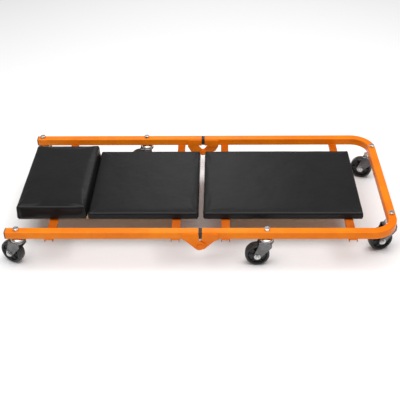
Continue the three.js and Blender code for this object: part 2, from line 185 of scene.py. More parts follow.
def rubbed_edges():
    """Patchy marks along the outside edges, where handling rubs a surface first."""
    group, given, result = effect_group(
        "rubbed_edges", {"Amount": 0.5, "Patch Scale": 120}, {"Mask": "NodeSocketFloat"}
    )
    geometry = group.nodes.new("ShaderNodeNewGeometry")
    edge = group.nodes.new("ShaderNodeMapRange")
    edge.inputs["From Min"].default_value = 0.53
    edge.inputs["From Max"].default_value = 0.62
    coordinates = group.nodes.new("ShaderNodeTexCoord")
    patches = group.nodes.new("ShaderNodeTexNoise")
    rubbed = group.nodes.new("ShaderNodeMath")
    rubbed.operation = "MULTIPLY"
    scaled = group.nodes.new("ShaderNodeMath")
    scaled.operation = "MULTIPLY"
    scaled.use_clamp = True
    group.links.new(geometry.outputs["Pointiness"], edge.inputs["Value"])
    group.links.new(coordinates.outputs["Object"], patches.inputs["Vector"])
    group.links.new(given.outputs["Patch Scale"], patches.inputs["Scale"])
    group.links.new(edge.outputs["Result"], rubbed.inputs[0])
    group.links.new(patches.outputs["Fac"], rubbed.inputs[1])
    group.links.new(rubbed.outputs["Value"], scaled.inputs[0])
    group.links.new(given.outputs["Amount"], scaled.inputs[1])
    group.links.new(scaled.outputs["Value"], result.inputs["Mask"])
    return group


CLOUDINESS = cloudiness()
FINE_TEXTURE = fine_texture()
RUBBED_EDGES = rubbed_edges()


def new_finish(name):
    """A material with its Principled shader, ready for effects."""
    material = bpy.data.materials.new(name)
    material.use_nodes = True
    return material, material.node_tree, material.node_tree.nodes["Principled BSDF"]


def effect(tree, group, **values):
    """One effect group in a material, with its own values. Underscores stand for spaces."""
    node = tree.nodes.new("ShaderNodeGroup")
    node.node_tree = group
    for label, value in values.items():
        node.inputs[label.replace("_", " ")].default_value = value
    return node


def blend_colours(tree, mask, first, second):
    """A colour between two, by a mask. Each is a fixed colour or a colour output."""
    mix = tree.nodes.new("ShaderNodeMix")
    mix.data_type = "RGBA"
    tree.links.new(mask, mix.inputs["Factor"])
    for socket, colour in ((mix.inputs[6], first), (mix.inputs[7], second)):
        if isinstance(colour, tuple):
            socket.default_value = colour
        else:
            tree.links.new(colour, socket)
    return mix.outputs[2]


def link_finish(tree, shader, colour, roughness, normal):
    tree.links.new(colour, shader.inputs["Base Color"])
    tree.links.new(roughness, shader.inputs["Roughness"])
    tree.links.new(normal, shader.inputs["Normal"])


def worn_finish(name, patch_scale, patch_colours, worn_colour, wear, gloss, texture):
    """A coat, a plating or a moulding, and its shader: two colours in soft patches, a third
    where its edges are rubbed, a gloss that varies and a fine texture."""
    material, tree, shader = new_finish(name)
    patches = effect(tree, CLOUDINESS, Scale=patch_scale, Low=0.0, High=1.0)
    worn = effect(tree, RUBBED_EDGES, **wear)
    body_colour = blend_colours(tree, patches.outputs["Value"], *patch_colours)
    colour = blend_colours(tree, worn.outputs["Mask"], body_colour, worn_colour)
    roughness = effect(tree, CLOUDINESS, **gloss).outputs["Value"]
    normal = effect(tree, FINE_TEXTURE, **texture).outputs["Normal"]
    link_finish(tree, shader, colour, roughness, normal)
    return material, shader


def powder_coat(name, bright, deep):
    """Glossy orange coat, lighter where handling has thinned it at the edges."""
    material, shader = worn_finish(
        name, 14, (bright, deep), (1.0, 0.36, 0.03, 1),
        wear={"Amount": 0.35, "Patch_Scale": 90},
        gloss={"Scale": 40, "Low": 0.26, "High": 0.36},
        texture={"Scale": 700, "Strength": 0.12},
    )
    shader.inputs["Specular IOR Level"].default_value = 0.16
    return material


POWDER_COAT = powder_coat("orange_powder_coat", COAT_BRIGHT, COAT_DEEP)


def new_piece(name, mesh, material, smooth_below=35):
    """An object from a mesh, shaded smooth except over edges sharper than the angle."""
    mesh.polygons.foreach_set("use_smooth", [True] * len(mesh.polygons))
    mesh.set_sharp_from_angle(angle=math.radians(smooth_below))
    piece = bpy.data.objects.new(name, mesh)
    piece.data.materials.clear()
    piece.data.materials.append(material)
    bpy.context.scene.collection.objects.link(piece)
    return piece


def skin(name, rings, closed=False):
    """A mesh over a row of rings that have the same number of points, ends closed flat."""
    count = len(rings[0])
    points = [point for ring in rings for point in ring]
    faces = []
    for ring in range(len(rings) if closed else len(rings) - 1):
        here, there = ring * count, ((ring + 1) % len(rings)) * count
        for k in range(count):
            after = (k + 1) % count
            faces.append((here + k, here + after, there + after, there + k))
    if not closed:
        faces.append(tuple(reversed(range(count))))
        faces.append(tuple(range((len(rings) - 1) * count, len(rings) * count)))
    mesh = bpy.data.meshes.new(name)
    mesh.from_pydata([tuple(point) for point in points], [], faces)
    return outward(mesh)


def outward(mesh):
    """Welds doubled points and turns every face outward."""
    work = bmesh.new()
    work.from_mesh(mesh)
    bmesh.ops.remove_doubles(work, verts=work.verts, dist=1e-7)
    bmesh.ops.recalc_face_normals(work, faces=work.faces)
    work.to_mesh(mesh)
    work.free()
    return mesh


def applied(piece):
    """Applies a piece's modifiers to its mesh."""
    bpy.context.view_layer.update()
    shaped = piece.evaluated_get(bpy.context.evaluated_depsgraph_get())
    mesh = bpy.data.meshes.new_from_object(shaped)
    piece.modifiers.clear()
    old, piece.data = piece.data, mesh
    bpy.data.meshes.remove(old)
    return piece


def carve(piece, tool_meshes, operation="DIFFERENCE"):
    """Cuts, joins or keeps the overlap of a piece with each tool shape in turn."""
    tools = []
    for mesh in tool_meshes:
        tool = bpy.data.objects.new("tool", mesh)
        bpy.context.scene.collection.objects.link(tool)
        cut = piece.modifiers.new("cut", "BOOLEAN")
        cut.operation, cut.solver, cut.object = operation, "EXACT", tool
        tools.append(tool)
    applied(piece)
    for tool in tools:
        bpy.data.objects.remove(tool)


def round_bar(radius, start, end, sides=32):
    """A straight round bar between two points."""
    start, end = Vector(start), Vector(end)
    turn = (end - start).to_track_quat("Z", "Y").to_matrix()
    rings = []
    for centre in (start, end):
        angles = [2 * math.pi * k / sides for k in range(sides)]
        ring = [Vector((radius * math.cos(a), radius * math.sin(a), 0)) for a in angles]
        rings.append([centre + turn @ point for point in ring])
    return skin("bar", rings)


def tube_outline(size, corner, corner_steps=5, face_steps=4):
    """A rounded square as (across, up) points, counter-clockwise, with points along its faces."""
    half = size / 2 - corner
    points = []
    for quarter, (across, up) in enumerate([(1, -1), (1, 1), (-1, 1), (-1, -1)]):
        for step in range(corner_steps + 1):
            angle = math.radians(90 * (quarter - 1 + step / corner_steps))
            points.append((across * half + corner * math.cos(angle), up * half + corner * math.sin(angle)))
        next_across, next_up = [(1, 1), (-1, 1), (-1, -1), (1, -1)][quarter]
        facing = math.radians(90 * quarter)
        first = Vector(points[-1])
        leaving = Vector((math.cos(facing), math.sin(facing)))
        last = Vector((next_across, next_up)) * half + leaving * corner
        points += [tuple(first.lerp(last, step / face_steps)) for step in range(1, face_steps)]
    return points


def tube_ring(outline, centre, along, pressed=0.0):
    """The outline set square to the tube, with its side faces pressed in where it is bent."""
    across = Vector((along.y, -along.x, 0))
    ring = []
    for a, b in outline:
        flatness = max(0.0, 1 - (2 * b / TUBE) ** 2)
        side = INSIDE_VALLEY if a < 0 else -OUTSIDE_FLAT
        edge_share = min(1.0, abs(a) / (TUBE / 2 - TUBE_CORNER))
        ring.append(centre + across * (a + pressed * side * flatness * edge_share ** 4) + Vector((0, 0, b)))
    return ring


def tube_stations(foot_box):
    """Middle line of the foot end's frame: (centre, direction, how far it is into a bend)."""
    low, high = foot_box
    bend_x = high.x - TUBE / 2 - BEND_RADIUS
    bend_y = high.y - TUBE / 2 - BEND_RADIUS
    middle_y, height = (low.y + high.y) / 2, (low.z + high.z) / 2
    bend_y -= middle_y
    rows = [(Vector((low.x, middle_y - bend_y - BEND_RADIUS, height)), Vector((1, 0, 0)), 0.0)]
    for start, side in ((-90, -1), (0, 1)):
        for step in range(BEND_STEPS + 1):
            share = step / BEND_STEPS
            angle = math.radians(start + 90 * share)
            outwards = Vector((math.cos(angle), math.sin(angle), 0))
            centre = Vector((bend_x, middle_y + side * bend_y, height)) + BEND_RADIUS * outwards
            rows.append((centre, Vector((-outwards.y, outwards.x, 0)), math.sin(math.pi * share) ** 0.5))
    rows.append((Vector((low.x, middle_y + bend_y + BEND_RADIUS, height)), Vector((-1, 0, 0)), 0.0))
    return rows


def square_tube(name, node, stations, body):
    """A hollow tube along its stations, drilled for the caster stems that stand in it."""
    outside = tube_outline(TUBE, TUBE_CORNER)
    bore = tube_outline(TUBE - 2 * TUBE_WALL, TUBE_CORNER - TUBE_WALL)
    rings = [tube_ring(outside, *station) for station in stations]
    rings += [tube_ring(bore, *station) for station in reversed(stations)]
    tube = new_piece(name, skin(name, rings, closed=True), POWDER_COAT)
    low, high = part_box(node)
    drills = []
    for joint, place in joint_place.items():
        over = low.x < place.x < high.x and low.y < place.y < high.y
        if joint.startswith("swivel_") and over:
            above, below = Vector((0, 0, high.z + MM)), Vector((0, 0, low.z - MM))
            drills.append(round_bar(STEM_RADIUS + GAP, place.xy.to_3d() + below, place.xy.to_3d() + above))
    carve(tube, drills)
    tube.data = outward(tube.data)
    tube.data.set_sharp_from_angle(angle=math.radians(35))
    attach(tube, body)
    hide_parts(node)


square_tube("bent_foot_tube", "foot_frame", tube_stations(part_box("foot_frame")), "foot_section")
for side in ("right", "left"):
    low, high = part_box(f"head_rail_{side}")
    middle_y, height = (low.y + high.y) / 2, (low.z + high.z) / 2
    rail_line = [(Vector((x, middle_y, height)), Vector((1, 0, 0)), 0.0) for x in (low.x, high.x)]
    square_tube(f"straight_rail_{side}", f"head_rail_{side}", rail_line, "head_section")

# ---- Crossbars, hinge brackets and pivot bolts ----
# Folded from 2 to 2.5 mm steel, so their edges are slightly rounded. The hinge plates lie
# beside the tube ends and their lugs overlap at the pivot. All are coated with the frame.


CROSSBAR_EDGE = 0.6 * MM
BRACKET_EDGE = 0.7 * MM


def eased_part(name, node, material, ease):
    """A steel or plastic part with its sharp edges eased."""
    mesh = frame["nodes"][node].data.copy()
    work = bmesh.new()
    work.from_mesh(mesh)
    bmesh.ops.remove_doubles(work, verts=work.verts, dist=1e-6)
    bmesh.ops.dissolve_limit(work, angle_limit=math.radians(2), verts=work.verts, edges=work.edges)
    sharp = [edge for edge in work.edges if edge.calc_face_angle(0) > math.radians(25)]
    bmesh.ops.bevel(
        work, geom=sharp, offset=ease, segments=2, profile=0.5, affect="EDGES", clamp_overlap=True
    )
    work.to_mesh(mesh)
    work.free()
    mesh.name = name
    return new_piece(name, outward(mesh), material)


def section_of(node):
    """The body that a node of the CAD belongs to."""
    bodies = frame["record"]["behaviour"]["bodies"]
    return next(body for body, members in bodies.items() if node in members)


# The crossbars' coat is painted darker and redder: painted shade for the shelter they hang in under the frame.
SHADED_COAT = powder_coat("shaded_powder_coat", (0.50, 0.095, 0.001, 1), (0.38, 0.06, 0.001, 1))
coated_parts = []
for section in ("head", "foot"):
    for place in ("outer", "inner"):
        # The crossbars take the coat with painted shade in its colour.
        coated_parts.append((f"{section}_crossbar_{place}", SHADED_COAT, CROSSBAR_EDGE))
    for side in ("right", "left"):
        coated_parts.append((f"{section}_bracket_{side}", POWDER_COAT, BRACKET_EDGE))
for node, coat, ease in coated_parts:
    part = eased_part(f"{node}_coated", node, coat, ease)
    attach(part, section_of(node))
    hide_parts(node)


def turned(name, profile, sides=48):
    """A round part turned about Z from (radius, height) points."""
    rings = []
    for radius, height in profile:
        angles = [2 * math.pi * k / sides for k in range(sides)]
        rings.append([Vector((radius * math.cos(a), radius * math.sin(a), height)) for a in angles])
    closed = profile[0][0] > 0
    mesh = skin(name, rings, closed=closed)
    work = bmesh.new()
    work.from_mesh(mesh)
    bmesh.ops.remove_doubles(work, verts=work.verts, dist=1e-7)
    bmesh.ops.dissolve_degenerate(work, edges=work.edges, dist=1e-7)
    work.to_mesh(mesh)
    work.free()
    return outward(mesh)


PIVOT_HEAD, PIVOT_HEAD_HEIGHT, PIVOT_DOME = 7.5 * MM, 2.5 * MM, 0.9 * MM
PIVOT_SHANK, PIVOT_TIP = 4 * MM, 0.6 * MM


def pivot_rivet(side):
    """A shouldered pivot bolt: a low domed head outside the lugs and a shank through them."""
    low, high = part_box(f"pivot_bolt_{side}")
    length = high.y - low.y
    profile = [(0, 0)]
    for angle in np.linspace(math.pi / 2, 0, 8)[1:]:
        profile.append((PIVOT_HEAD * math.cos(angle), PIVOT_DOME * (1 - math.sin(angle))))
    profile += [(PIVOT_HEAD, PIVOT_HEAD_HEIGHT - PIVOT_TIP), (PIVOT_HEAD - 0.5 * MM, PIVOT_HEAD_HEIGHT)]
    profile += [(PIVOT_SHANK, PIVOT_HEAD_HEIGHT), (PIVOT_SHANK, length - PIVOT_TIP)]
    profile += [(PIVOT_SHANK - PIVOT_TIP, length), (0, length)]
    bolt = new_piece(f"pivot_rivet_{side}", turned(f"pivot_rivet_{side}", profile), POWDER_COAT)
    bolt.data.transform(Matrix.Translation((hinge.x, low.y, hinge.z)) @ Matrix.Rotation(-math.pi / 2, 4, "X"))
    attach(bolt, "foot_section")
    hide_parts(f"pivot_bolt_{side}")


for side in ("right", "left"):
    pivot_rivet(side)

# ---- Weld beads ----
# Each crossbar is welded under both rails, and each hinge plate along its upper edge. The beads
# were laid by hand, so they ripple, and the powder coat covers them.

BEAD_RADIUS = 1.7 * MM
BEAD_FACETS = 10
BEAD_DRIFT = 0.25 * MM
RIPPLE = 1.6 * MM
PLATE_EDGE = 1.6 * MM  # from a hinge plate's outer face to the middle of its bead


def weld_bead(start, end):
    """Rings of a rippled bead that thins out at both ends."""
    start, end = Vector(start), Vector(end)
    along = (end - start).normalized()
    across = along.cross(Vector((0, 0, 1))).normalized()
    up = across.cross(along)
    length = (end - start).length
    steps = max(12, round(length / (0.4 * MM)))
    rings = []
    for step in range(steps + 1):
        share = step / steps
        swell = 0.82 + 0.18 * abs(math.sin(math.pi * share * length / RIPPLE))
        taper = min(1.0, 6 * min(share, 1 - share) + 0.25)
        radius = BEAD_RADIUS * swell * taper
        drift = BEAD_DRIFT * noise.noise(Vector((share * 9, start.x * 50, start.y * 50)))
        centre = start.lerp(end, share) + across * drift
        angles = [2 * math.pi * k / BEAD_FACETS for k in range(BEAD_FACETS)]
        rings.append([centre + radius * (math.cos(a) * across + 0.8 * math.sin(a) * up) for a in angles])
    return skin("bead", rings)


def joined(name, meshes):
    """Several closed shapes in one mesh."""
    work = bmesh.new()
    for mesh in meshes:
        work.from_mesh(mesh)
        bpy.data.meshes.remove(mesh)
    mesh = bpy.data.meshes.new(name)
    work.to_mesh(mesh)
    work.free()
    return mesh


def welds_of(section):
    """Beads where each crossbar meets both sides of a rail, and along each hinge plate."""
    beads = []
    for place in ("inner", "outer"):
        low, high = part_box(f"{section}_crossbar_{place}")
        for edge in (low.y, high.y):
            inwards = 1 if edge == low.y else -1
            top = high.z + 0.5 * MM
            for y in (edge + inwards * GAP, edge + inwards * (TUBE - 2 * GAP)):
                beads.append(weld_bead((low.x + MM, y, top), (high.x - MM, y, top)))
    for side in ("right", "left"):
        low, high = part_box(f"{section}_bracket_{side}")
        tube_low, tube_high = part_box("foot_frame" if section == "foot" else f"head_rail_{side}")
        start = max(low.x, tube_low.x) + 3 * MM
        end = min(high.x, tube_high.x) - 3 * MM
        edge = low.y + PLATE_EDGE
        beads.append(weld_bead((start, edge, high.z), (end, edge, high.z)))
    return beads


for section in ("head", "foot"):
    mesh = joined(f"{section}_weld_beads", welds_of(section))
    beads = new_piece(f"{section}_weld_beads", mesh, POWDER_COAT, 60)
    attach(beads, f"{section}_section")

# ---- Tube end caps and hinge plugs ----
# Moulded black polyethylene, pushed into the tube ends, with a fine spark texture. The hinge
# plugs butt against each other when the creeper lies flat.


BLACK_MOULDING, _shader = worn_finish(
    "black_moulding", 60, ((0.012, 0.012, 0.013, 1), (0.02, 0.02, 0.021, 1)), (0.06, 0.06, 0.06, 1),
    wear={"Amount": 0.8, "Patch_Scale": 150},
    gloss={"Scale": 90, "Low": 0.45, "High": 0.6},
    texture={"Scale": 1600, "Strength": 0.25},
)
CAP_DOME = 2.2 * MM
CAP_DRAWN_IN = 0.5  # how far the dome draws in towards the tube's middle, as a share
CAP_FLATTENED = 0.12
SPIGOT_SHARE = 0.84
SPIGOT_TIP_SHARE = 0.8


def domed_cap(side):
    """A cap whose flange swells into a shallow dome, on the spigot that grips the tube."""
    low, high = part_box(f"end_cap_{side}")
    rail_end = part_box(f"head_rail_{side}")[0].x
    centre = (low + high) / 2
    edge = low.x + CAP_DOME
    profile = [(0.02, low.x)]
    for angle in np.linspace(math.pi / 2, 0, 9):
        share = 1 - CAP_DRAWN_IN * (1 - math.cos(angle)) - CAP_FLATTENED * math.sin(angle)
        profile.append((share, edge - CAP_DOME * math.sin(angle)))
    profile += [(1, rail_end - GAP), (SPIGOT_SHARE, rail_end - GAP)]
    profile += [(SPIGOT_SHARE, high.x - MM), (SPIGOT_TIP_SHARE, high.x)]
    outline = tube_outline(TUBE, TUBE_CORNER)
    rings = []
    for share, x in profile:
        rings.append([Vector((x, centre.y + a * share, centre.z + b * share)) for a, b in outline])
    cap = new_piece(f"end_cap_{side}_moulded", skin(f"end_cap_{side}_moulded", rings), BLACK_MOULDING)
    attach(cap, "head_section")
    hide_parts(f"end_cap_{side}")


for side in ("right", "left"):
    domed_cap(side)
for node in [f"{section}_plug_{side}" for section in ("head", "foot") for side in ("right", "left")]:
    plug = eased_part(f"{node}_moulded", node, BLACK_MOULDING, 0.5 * MM)
    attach(plug, section_of(node))
    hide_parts(node)

# ---- Plywood boards ----
# 9 mm birch plywood under each run of padding. Only its underside shows, inside the hem of
# the vinyl, with its grain along the creeper.

HEM_THICKNESS = 0.8 * MM
BOARD_EDGE = 0.8 * MM


def plywood():
    """Bare birch veneer, its grain drawn out along the creeper."""
    material, tree, shader = new_finish("birch_plywood")
    coordinates = tree.nodes.new("ShaderNodeTexCoord")
    stretch = tree.nodes.new("ShaderNodeMapping")
    stretch.inputs["Scale"].default_value = (3, 60, 60)
    grain = tree.nodes.new("ShaderNodeTexNoise")
    grain.inputs["Scale"].default_value = 2.5
    grain.inputs["Detail"].default_value = 6
    grain.inputs["Distortion"].default_value = 0.8
    tree.links.new(coordinates.outputs["Object"], stretch.inputs["Vector"])
    tree.links.new(stretch.outputs["Vector"], grain.inputs["Vector"])
    wood = blend_colours(tree, grain.outputs["Fac"], (0.62, 0.42, 0.22, 1), (0.38, 0.22, 0.10, 1))
    stain = effect(tree, CLOUDINESS, Scale=6, Low=0.0, High=0.35)
    colour = blend_colours(tree, stain.outputs["Value"], wood, (0.28, 0.17, 0.09, 1))
    relief = tree.nodes.new("ShaderNodeBump")
    relief.inputs["Strength"].default_value = 0.3
    relief.inputs["Distance"].default_value = 0.3 * MM
    dryness = effect(tree, CLOUDINESS, Scale=30, Low=0.65, High=0.85)
    tree.links.new(grain.outputs["Fac"], relief.inputs["Height"])
    link_finish(tree, shader, colour, dryness.outputs["Value"], relief.outputs["Normal"])
    return material


def block(name, low, high):
    """An upright box between two corners."""
    corners = [(low.x, low.y), (high.x, low.y), (high.x, high.y), (low.x, high.y)]
    return skin(name, [[Vector((x, y, z)) for x, y in corners] for z in (low.z, high.z)])


PLYWOOD = plywood()
for section in ("head", "foot"):
    low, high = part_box(f"{section}_board")
    mesh = block(f"{section}_plywood", low + Vector((0, 0, HEM_THICKNESS)), high)
    panel = new_piece(f"{section}_plywood", mesh, PLYWOOD)
    easing = panel.modifiers.new("eased", "BEVEL")
    easing.width, easing.segments = BOARD_EDGE, 2
    applied(panel)
    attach(panel, f"{section}_section")
    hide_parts(f"{section}_board")

# ---- Padding: foot pad, head pad and headrest ----
# Foam under black upholstery vinyl with a fine leather grain. The cover is pulled down over
# the board's edges, so each pad crowns a little and its sides belly out between the corners.

VOXEL = 4 * MM
UPRIGHT_CORNER = 3 * MM
HELD_HEIGHT = 6 * MM  # the cover is held fast to the board below this
FOAM_PRESSURE = 4
COVER_STEPS = 20
CORNER_TUCK = 0.9 * MM
TUCK_WIDTH = 1.9 * MM
TUCK_REACH = 9 * MM
TUCK_INSET, TUCK_SPLAY = 7 * MM, 4 * MM  # from the corner at the top, and more below
WAVE, RIPPLING = 0.35 * MM, 0.15 * MM
FIRM_HEIGHT = 10 * MM
POCKET_ROOM = Vector((GAP, GAP, GAP))


def vinyl():
    """Black vinyl with a pebbled grain of smooth cells, with painted shade darkening the creases between them."""
    material, tree, shader = new_finish("black_vinyl")
    coordinates = tree.nodes.new("ShaderNodeTexCoord")
    warp = tree.nodes.new("ShaderNodeTexNoise")
    warp.inputs["Scale"].default_value = 260
    warp.inputs["Detail"].default_value = 2
    offset = tree.nodes.new("ShaderNodeVectorMath")
    offset.operation = "MULTIPLY_ADD"
    offset.inputs[1].default_value = (0.0016, 0.0016, 0.0016)
    pebbles = tree.nodes.new("ShaderNodeTexVoronoi")
    pebbles.feature = "SMOOTH_F1"
    pebbles.inputs["Scale"].default_value = 650
    pebbles.inputs["Smoothness"].default_value = 0.4
    relief = tree.nodes.new("ShaderNodeBump")
    relief.invert = True
    relief.inputs["Strength"].default_value = 0.22
    relief.inputs["Distance"].default_value = 0.25 * MM
    tree.links.new(coordinates.outputs["Object"], warp.inputs["Vector"])
    tree.links.new(warp.outputs["Color"], offset.inputs[0])
    tree.links.new(coordinates.outputs["Object"], offset.inputs[2])
    tree.links.new(offset.outputs["Vector"], pebbles.inputs["Vector"])
    tree.links.new(pebbles.outputs["Distance"], relief.inputs["Height"])
    shade = effect(tree, CLOUDINESS, Scale=9, Low=0.0, High=1.0)
    dark, light = (0.008, 0.008, 0.0085, 1), (0.011, 0.011, 0.0115, 1)
    body_colour = blend_colours(tree, shade.outputs["Value"], dark, light)
    # Painted shade: the colour darkens towards the creases between the cells.
    colour = blend_colours(tree, pebbles.outputs["Distance"], body_colour, (0.006, 0.006, 0.0065, 1))
    gloss = effect(tree, CLOUDINESS, Scale=18, Low=0.34, High=0.38)
    link_finish(tree, shader, colour, gloss.outputs["Value"], relief.outputs["Normal"])
    shader.inputs["Specular IOR Level"].default_value = 0.2
    return material


VINYL = vinyl()


def arc_points(centre, radius, start, end, steps):
    """Points along an arc, angles in degrees."""
    angles = [math.radians(start + (end - start) * k / steps) for k in range(steps + 1)]
    return [(centre[0] + radius * math.cos(a), centre[1] + radius * math.sin(a)) for a in angles]


def foam_block(name, low, high, rounding):
    """The foam before it is covered: upright sides, a rounded top edge, small even facets."""
    corner = UPRIGHT_CORNER
    profile = [(0, low.z)]
    profile += [
        (rounding * (1 - math.cos(a)), high.z - rounding * (1 - math.sin(a)))
        for a in np.linspace(0, math.pi / 2, 7)
    ]
    rings = []
    for inset, height in profile:
        ring = []
        corners = [(high.x, high.y, 0), (low.x, high.y, 90), (low.x, low.y, 180), (high.x, low.y, 270)]
        for x, y, start in corners:
            centre_x = x - math.copysign(corner + inset, x - (low.x + high.x) / 2)
            centre_y = y - math.copysign(corner + inset, y - (low.y + high.y) / 2)
            corner_arc = arc_points((centre_x, centre_y), corner, start, start + 90, 4)
            ring += [Vector((a, b, height)) for a, b in corner_arc]
        rings.append(ring)
    foam = new_piece(name, skin(name, rings), VINYL)
    facets = foam.modifiers.new("facets", "REMESH")
    facets.mode, facets.voxel_size = "VOXEL", VOXEL
    return applied(foam)


def vertex_places(mesh):
    """All the points of a mesh, one row each."""
    places = np.empty(len(mesh.vertices) * 3)
    mesh.vertices.foreach_get("co", places)
    return places.reshape(-1, 3)


def swell(piece, held_below, most):
    """Lets the foam press the cover outwards, held at the board, each point by at most so much."""
    start = vertex_places(piece.data)
    held = piece.vertex_groups.new(name="held")
    held.add([int(k) for k in np.nonzero(start[:, 2] < held_below)[0]], 1.0, "REPLACE")
    cover = piece.modifiers.new("cover", "CLOTH")
    cover.settings.use_pressure = True
    cover.settings.uniform_pressure_force = FOAM_PRESSURE
    cover.settings.vertex_group_mass = "held"
    cover.settings.effector_weights.gravity = 0
    for step in range(1, COVER_STEPS + 1):
        bpy.context.scene.frame_set(step)
    applied(piece)
    bpy.context.scene.frame_set(1)
    moved = vertex_places(piece.data) - start
    length = np.linalg.norm(moved, axis=1, keepdims=True)
    soft_limit = most * np.tanh(length / most) / np.maximum(length, 1e-9)
    piece.data.vertices.foreach_set("co", (start + moved * soft_limit).ravel())
    piece.vertex_groups.clear()
    piece.data.update()


def tuck_corners(piece, low, high, joined_ends):
    """Presses in the folds where the cover is gathered down each upright corner, and gives
    the faces the slight waviness of foam."""
    places = vertex_places(piece.data)
    for row, (x, y, z) in enumerate(places):
        here = Vector((x, y, z))
        wave = WAVE * noise.noise(here * 22) + RIPPLING * noise.noise(here * 70)
        drop = min(1.0, max(0.0, (high.z - z) / (high.z - low.z)))
        for end_x in (low.x, high.x):
            if end_x in joined_ends:
                continue
            for side_y in (low.y, high.y):
                if abs(y - side_y) > TUCK_REACH:
                    continue
                from_corner = abs(x - end_x) - TUCK_INSET - TUCK_SPLAY * drop
                fold = math.exp(-(from_corner / TUCK_WIDTH) ** 2) * drop
                places[row, 1] -= math.copysign(CORNER_TUCK * fold, side_y - (low.y + high.y) / 2)
        places[row, 2] += wave * min(1.0, max(0.0, (z - low.z) / FIRM_HEIGHT))
    piece.data.vertices.foreach_set("co", places.ravel())
    piece.data.update()


def padding(name, node, slack, rounding, belly, joined_ends=()):
    """One cushion. It starts smaller than its room by the slack and the belly it will gain,
    but for the end where it meets its neighbour."""
    low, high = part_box(node)
    low_slack, high_slack = (0 if end in joined_ends else slack for end in (low.x, high.x))
    start_low = Vector((low.x + low_slack, low.y + slack, low.z + 0.4 * MM))
    start_high = Vector((high.x - high_slack, high.y - slack, high.z - belly))
    pad = foam_block(name, start_low, start_high, rounding)
    swell(pad, held_below=low.z + HELD_HEIGHT, most=belly)
    finer = pad.modifiers.new("finer", "SUBSURF")
    finer.levels = 1
    applied(pad)
    tuck_corners(pad, low, high, joined_ends)
    board_low, board_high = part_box("foot_board" if node == "foot_pad" else "head_board")
    below = Vector((0, 0, 5 * MM))
    pocket = block("pocket", board_low - POCKET_ROOM - below, board_high + POCKET_ROOM)
    carve(pad, [pocket])
    pad.data.polygons.foreach_set("use_smooth", [True] * len(pad.data.polygons))
    pad.data.set_sharp_from_angle(angle=math.radians(60))
    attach(pad, section_of(node))
    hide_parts(node)


joins = (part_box("head_pad")[0].x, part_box("headrest")[1].x)
for name, node in (("foot_cushion", "foot_pad"), ("head_cushion", "head_pad")):
    padding(name, node, slack=0.5 * MM, rounding=4 * MM, belly=1.4 * MM, joined_ends=joins)
padding(
    "headrest_cushion", "headrest",
    slack=0.6 * MM, rounding=6 * MM, belly=2 * MM, joined_ends=joins,
)

# ---- Vinyl hem and staples ----
# Under each board the vinyl is turned in about 22 mm, cut by hand and stapled every 35 mm
# with galvanised wire staples.

HEM_WIDTH = 22 * MM
STAPLE_PITCH = 35 * MM
STAPLE_WIDTH = 10 * MM
STAPLE_WIRE = 0.6 * MM
HEM_WOBBLE = 1.3 * MM
INTO_BOARD = 0.05 * MM


def rectangle_walk(low, high, pitch):
    """Points along a rectangle's edges: (point, direction along the edge, number on the edge)."""
    places = [(low.x, low.y), (high.x, low.y), (high.x, high.y), (low.x, high.y)]
    corners = [Vector(place) for place in places]
    for index, corner in enumerate(corners):
        after = corners[(index + 1) % 4]
        length = (after - corner).length
        along = (after - corner) / length
        steps = max(2, round(length / pitch))
        for step in range(steps):
            yield corner + along * (length * step / steps), along, step


def hem(section, low, high):
    """The turned-in edge of the cover under one board."""
    outer, inner = [], []
    for point, _along, _step in rectangle_walk(low, high, 6 * MM):
        width = HEM_WIDTH + HEM_WOBBLE * noise.noise(Vector((point.x * 40, point.y * 40, 3)))
        outer.append(point)
        inner.append(Vector((
            min(max(point.x, low.x + width), high.x - width),
            min(max(point.y, low.y + width), high.y - width),
        )))
    top, bottom = low.z + HEM_THICKNESS - INTO_BOARD, low.z
    rings = []
    for ring, height in ((outer, top), (outer, bottom), (inner, bottom), (inner, top)):
        rings.append([Vector((point.x, point.y, height)) for point in ring])
    turned_in = new_piece(f"{section}_vinyl_hem", skin(f"{section}_vinyl_hem", rings, closed=True), VINYL)
    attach(turned_in, f"{section}_section")


ZINC, bright_shader = worn_finish(
    "bright_zinc", 80, ((0.66, 0.67, 0.69, 1), (0.50, 0.49, 0.47, 1)), (0.82, 0.82, 0.82, 1),
    wear={"Amount": 0.9, "Patch_Scale": 200},
    gloss={"Scale": 150, "Low": 0.22, "High": 0.38},
    texture={"Scale": 1200, "Strength": 0.1},
)
bright_shader.inputs["Metallic"].default_value = 1.0


def staple(centre, along, height):
    """A wire crown pressed flat against the hem, with its two legs going up into the board."""
    along = along.to_3d()
    half = STAPLE_WIDTH / 2
    bend = 0.5 * MM
    path = [(-half, 2 * MM), (-half, bend), (bend - half, 0), (half - bend, 0), (half, bend), (half, 2 * MM)]
    across = Vector((-along.y, along.x, 0))
    rings = []
    for index, (s, z) in enumerate(path):
        before, after = Vector(path[max(0, index - 1)]), Vector(path[min(len(path) - 1, index + 1)])
        heading = (after - before).normalized()
        lift = Vector((0, 0, heading.x)) - along * heading.y
        centre_here = centre.to_3d() + along * s + Vector((0, 0, height + z))
        angles = [math.pi * k / 3 for k in range(6)]
        rings.append([
            centre_here + STAPLE_WIRE / 2 * (math.cos(a) * across + math.sin(a) * lift) for a in angles
        ])
    return skin("staple", rings)


for section in ("head", "foot"):
    low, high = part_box(f"{section}_board")
    hem(section, low, high)
    inset = Vector((HEM_WIDTH / 2, HEM_WIDTH / 2, 0))
    staples = []
    for point, along, step in rectangle_walk(low + inset, high - inset, STAPLE_PITCH):
        if step == 0:
            continue
        slant = Matrix.Rotation(0.2 * noise.noise(point.to_3d() * 300), 2)
        staples.append(staple(point, slant @ along, low.z - INTO_BOARD))
    wires = new_piece(f"{section}_staples", joined(f"{section}_staples", staples), ZINC)
    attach(wires, f"{section}_section")

# ---- Board screws ----
# Two pan-head screws go up through each crossbar into the plywood. Zinc plated, with a cross
# recess, and hidden inside the channel except from below.

